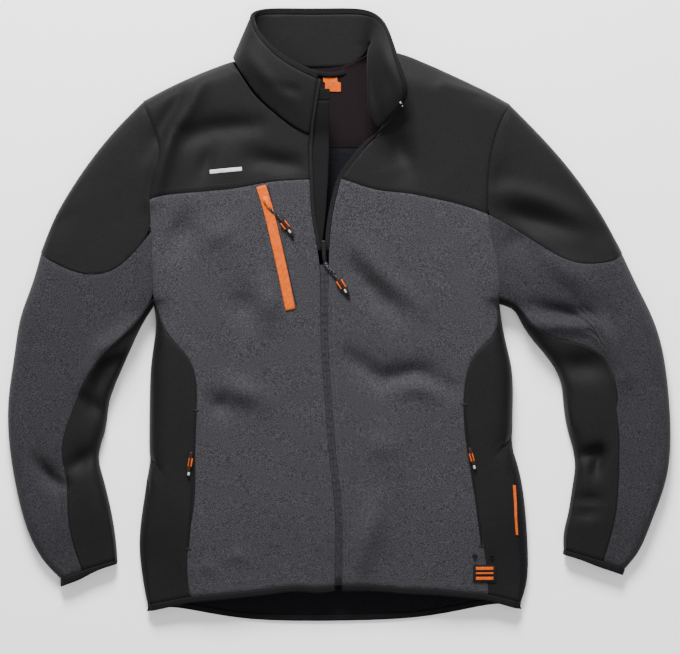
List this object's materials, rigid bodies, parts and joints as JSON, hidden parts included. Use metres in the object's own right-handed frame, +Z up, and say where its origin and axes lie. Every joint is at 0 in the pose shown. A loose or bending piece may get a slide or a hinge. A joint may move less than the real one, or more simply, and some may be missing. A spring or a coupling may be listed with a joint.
{
  "type": "softshell jacket",
  "caption": "Softshell jacket laid flat, front zip open to the chest, grey knit body with black yokes, side panels and collar, chest pocket zip and corded pulls",
  "frame": {"origin": "middle of the outline in plan, on the floor that the jacket lies on", "axes": "X to the wearer's left, Y from hem to collar, Z up from the floor; the front faces +Z"},
  "size_m": [0.8656, 0.801, 0.0718],
  "materials": {
    "grey_knit": "heathered jersey knit face",
    "black_softshell": "smooth stretch woven face",
    "binding": "turned and bound edge tape",
    "orange_trim": "coated zip tape and trim",
    "orange_grip": "moulded pull end",
    "zip_black": "coil zip and tape",
    "dark_metal": "dark coated zinc"
  },
  "bodies": {
    "garment": {"front_yoke_right": "black_softshell", "front_lower_right": "grey_knit", "side_panel_right": "black_softshell", "sleeve_cap_right": "black_softshell", "sleeve_under_right": "black_softshell", "sleeve_main_right": "grey_knit", "cuff_binding_right": "binding", "hem_binding_front_right": "binding", "front_yoke_left": "black_softshell", "front_lower_left": "grey_knit", "side_panel_left": "black_softshell", "sleeve_cap_left": "black_softshell", "sleeve_under_left": "black_softshell", "sleeve_main_left": "grey_knit", "cuff_binding_left": "binding", "hem_binding_front_left": "binding", "back_panel": "grey_knit", "back_yoke": "black_softshell", "hem_binding_back": "binding", "collar": "black_softshell", "collar_binding": "binding", "zip_tape_right": "zip_black", "zip_tape_left": "zip_black", "zip_chain": "zip_black", "storm_flap": "binding", "chin_guard": "binding", "zip_slider": "dark_metal", "zip_box": "zip_black", "chest_zip_tape": "orange_trim", "chest_slider": "orange_trim", "hand_pull_right": "orange_grip", "hand_pull_left": "orange_grip", "eyelet_front": "dark_metal", "eyelet_side": "dark_metal", "neck_label": "orange_trim", "hanger_loop": "binding", "side_tab": "orange_trim"},
    "main_pull": {"zip_pull_tab": "dark_metal", "zip_pull_cord": "binding", "zip_pull_grip": "orange_grip"},
    "chest_pull": {"chest_pull_tab": "orange_trim", "chest_pull_cord": "binding", "chest_pull_grip": "orange_grip"}
  },
  "joints": [
    {"name": "main_pull_hinge", "type": "hinge", "parent": "garment", "child": "main_pull", "pos_m": [-0.0203, 0.0899, 0.0453], "axis": [-1, 0, 0], "range_deg": [0, 120]},
    {"name": "chest_pull_hinge", "type": "hinge", "parent": "garment", "child": "chest_pull", "pos_m": [-0.0957, 0.1512, 0.046], "axis": [-0.9212, -0.3891, 0], "range_deg": [0, 120]}
  ]
}
